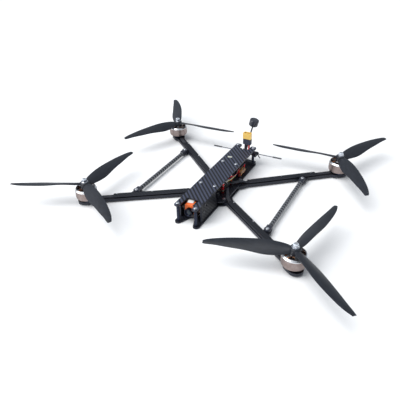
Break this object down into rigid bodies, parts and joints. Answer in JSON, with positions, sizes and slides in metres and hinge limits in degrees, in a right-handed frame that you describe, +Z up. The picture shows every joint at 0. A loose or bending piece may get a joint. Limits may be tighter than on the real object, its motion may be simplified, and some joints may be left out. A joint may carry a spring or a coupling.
{
  "type": "fpv quadcopter",
  "caption": "Long-range carbon-fibre FPV quadcopter with an X frame, braced arms, three-blade propellers on outrunner motors and a tilting nose camera.",
  "frame": {"origin": "middle of the belly: the underside of the bottom plate, on the centre line", "axes": "-Y toward the nose (the camera), +X toward the drone's left, +Z up"},
  "size_m": [0.5807, 0.4779, 0.09],
  "materials": {
    "carbon": "woven carbon fibre laminate, satin lacquer",
    "black_nylon": "moulded black nylon",
    "dark_aluminium": "black anodised",
    "silver_aluminium": "turned, bead blasted",
    "champagne": "champagne plated steel ring",
    "steel": "bright steel",
    "silicon_steel": "laminated, coated",
    "copper": "enamelled wire",
    "orange_case": "fine moulded texture",
    "black_tpu": "printed flexible plastic with fine layers",
    "black_case": "fine moulded texture",
    "black_metal": "black anodised, ribbed",
    "circuit_board": "solder mask",
    "red_aluminium": "red anodised",
    "amber_sleeve": "shrink sleeve",
    "red_silicone": "silicone wire jacket",
    "black_silicone": "silicone wire jacket",
    "yellow_nylon": "moulded nylon",
    "gold": "gold plated",
    "prop_plastic": "glass-filled nylon, smooth"
  },
  "bodies": {
    "frame": {"bottom_plate": "carbon", "mid_plate": "carbon", "top_plate": "carbon", "arm_front_left": "carbon", "arm_front_right": "carbon", "arm_rear_left": "carbon", "arm_rear_right": "carbon", "arm_covers": "carbon", "camera_plates": "carbon", "brace_tubes": "carbon", "brace_ends": "black_nylon", "motor_bases": "dark_aluminium", "motor_bearings": "steel", "motor_stators": "silicon_steel", "motor_windings": "copper", "speed_controller": "circuit_board", "flight_controller": "circuit_board", "stack_posts": "red_aluminium", "video_transmitter": "dark_aluminium", "receiver": "circuit_board", "capacitor": "amber_sleeve", "lead_red": "red_silicone", "lead_black": "black_silicone", "power_plug": "yellow_nylon", "plug_pins": "gold", "plug_cap": "black_nylon", "antenna_mount": "black_tpu", "antenna_stem": "black_silicone", "video_antenna": "black_case", "dipole_wire": "black_silicone", "dipole_sleeves": "black_nylon", "zip_ties": "black_nylon", "button_screws": "steel", "bottom_screws": "steel", "arm_nuts": "steel", "motor_screws": "steel", "cover_screws": "steel", "standoffs_long": "dark_aluminium", "standoffs_short": "dark_aluminium", "motor_wires": "black_silicone"},
    "rotor_front_right": {"bell_front_right": "silver_aluminium", "magnet_ring_front_right": "champagne", "propeller_front_right": "prop_plastic", "prop_nut_front_right": "steel"},
    "rotor_rear_right": {"bell_rear_right": "silver_aluminium", "magnet_ring_rear_right": "champagne", "propeller_rear_right": "prop_plastic", "prop_nut_rear_right": "steel"},
    "rotor_rear_left": {"bell_rear_left": "silver_aluminium", "magnet_ring_rear_left": "champagne", "propeller_rear_left": "prop_plastic", "prop_nut_rear_left": "steel"},
    "rotor_front_left": {"bell_front_left": "silver_aluminium", "magnet_ring_front_left": "champagne", "propeller_front_left": "prop_plastic", "prop_nut_front_left": "steel"},
    "camera": {"camera_bracket": "black_tpu", "camera_body": "orange_case", "camera_lens": "black_metal", "camera_screws": "steel"}
  },
  "joints": [
    {"name": "spin_front_right", "type": "hinge", "parent": "frame", "child": "rotor_front_right", "pos_m": [-0.184, -0.1405, 0.02], "axis": [0, 0, 1], "continuous": true},
    {"name": "spin_rear_right", "type": "hinge", "parent": "frame", "child": "rotor_rear_right", "pos_m": [-0.1716, 0.1405, 0.02], "axis": [0, 0, 1], "continuous": true},
    {"name": "spin_rear_left", "type": "hinge", "parent": "frame", "child": "rotor_rear_left", "pos_m": [0.1716, 0.1405, 0.02], "axis": [0, 0, 1], "continuous": true},
    {"name": "spin_front_left", "type": "hinge", "parent": "frame", "child": "rotor_front_left", "pos_m": [0.184, -0.1405, 0.02], "axis": [0, 0, 1], "continuous": true},
    {"name": "camera_tilt", "type": "hinge", "parent": "frame", "child": "camera", "pos_m": [0, -0.099, 0.0196], "axis": [-1, 0, 0], "range_deg": [-8, 35]}
  ]
}
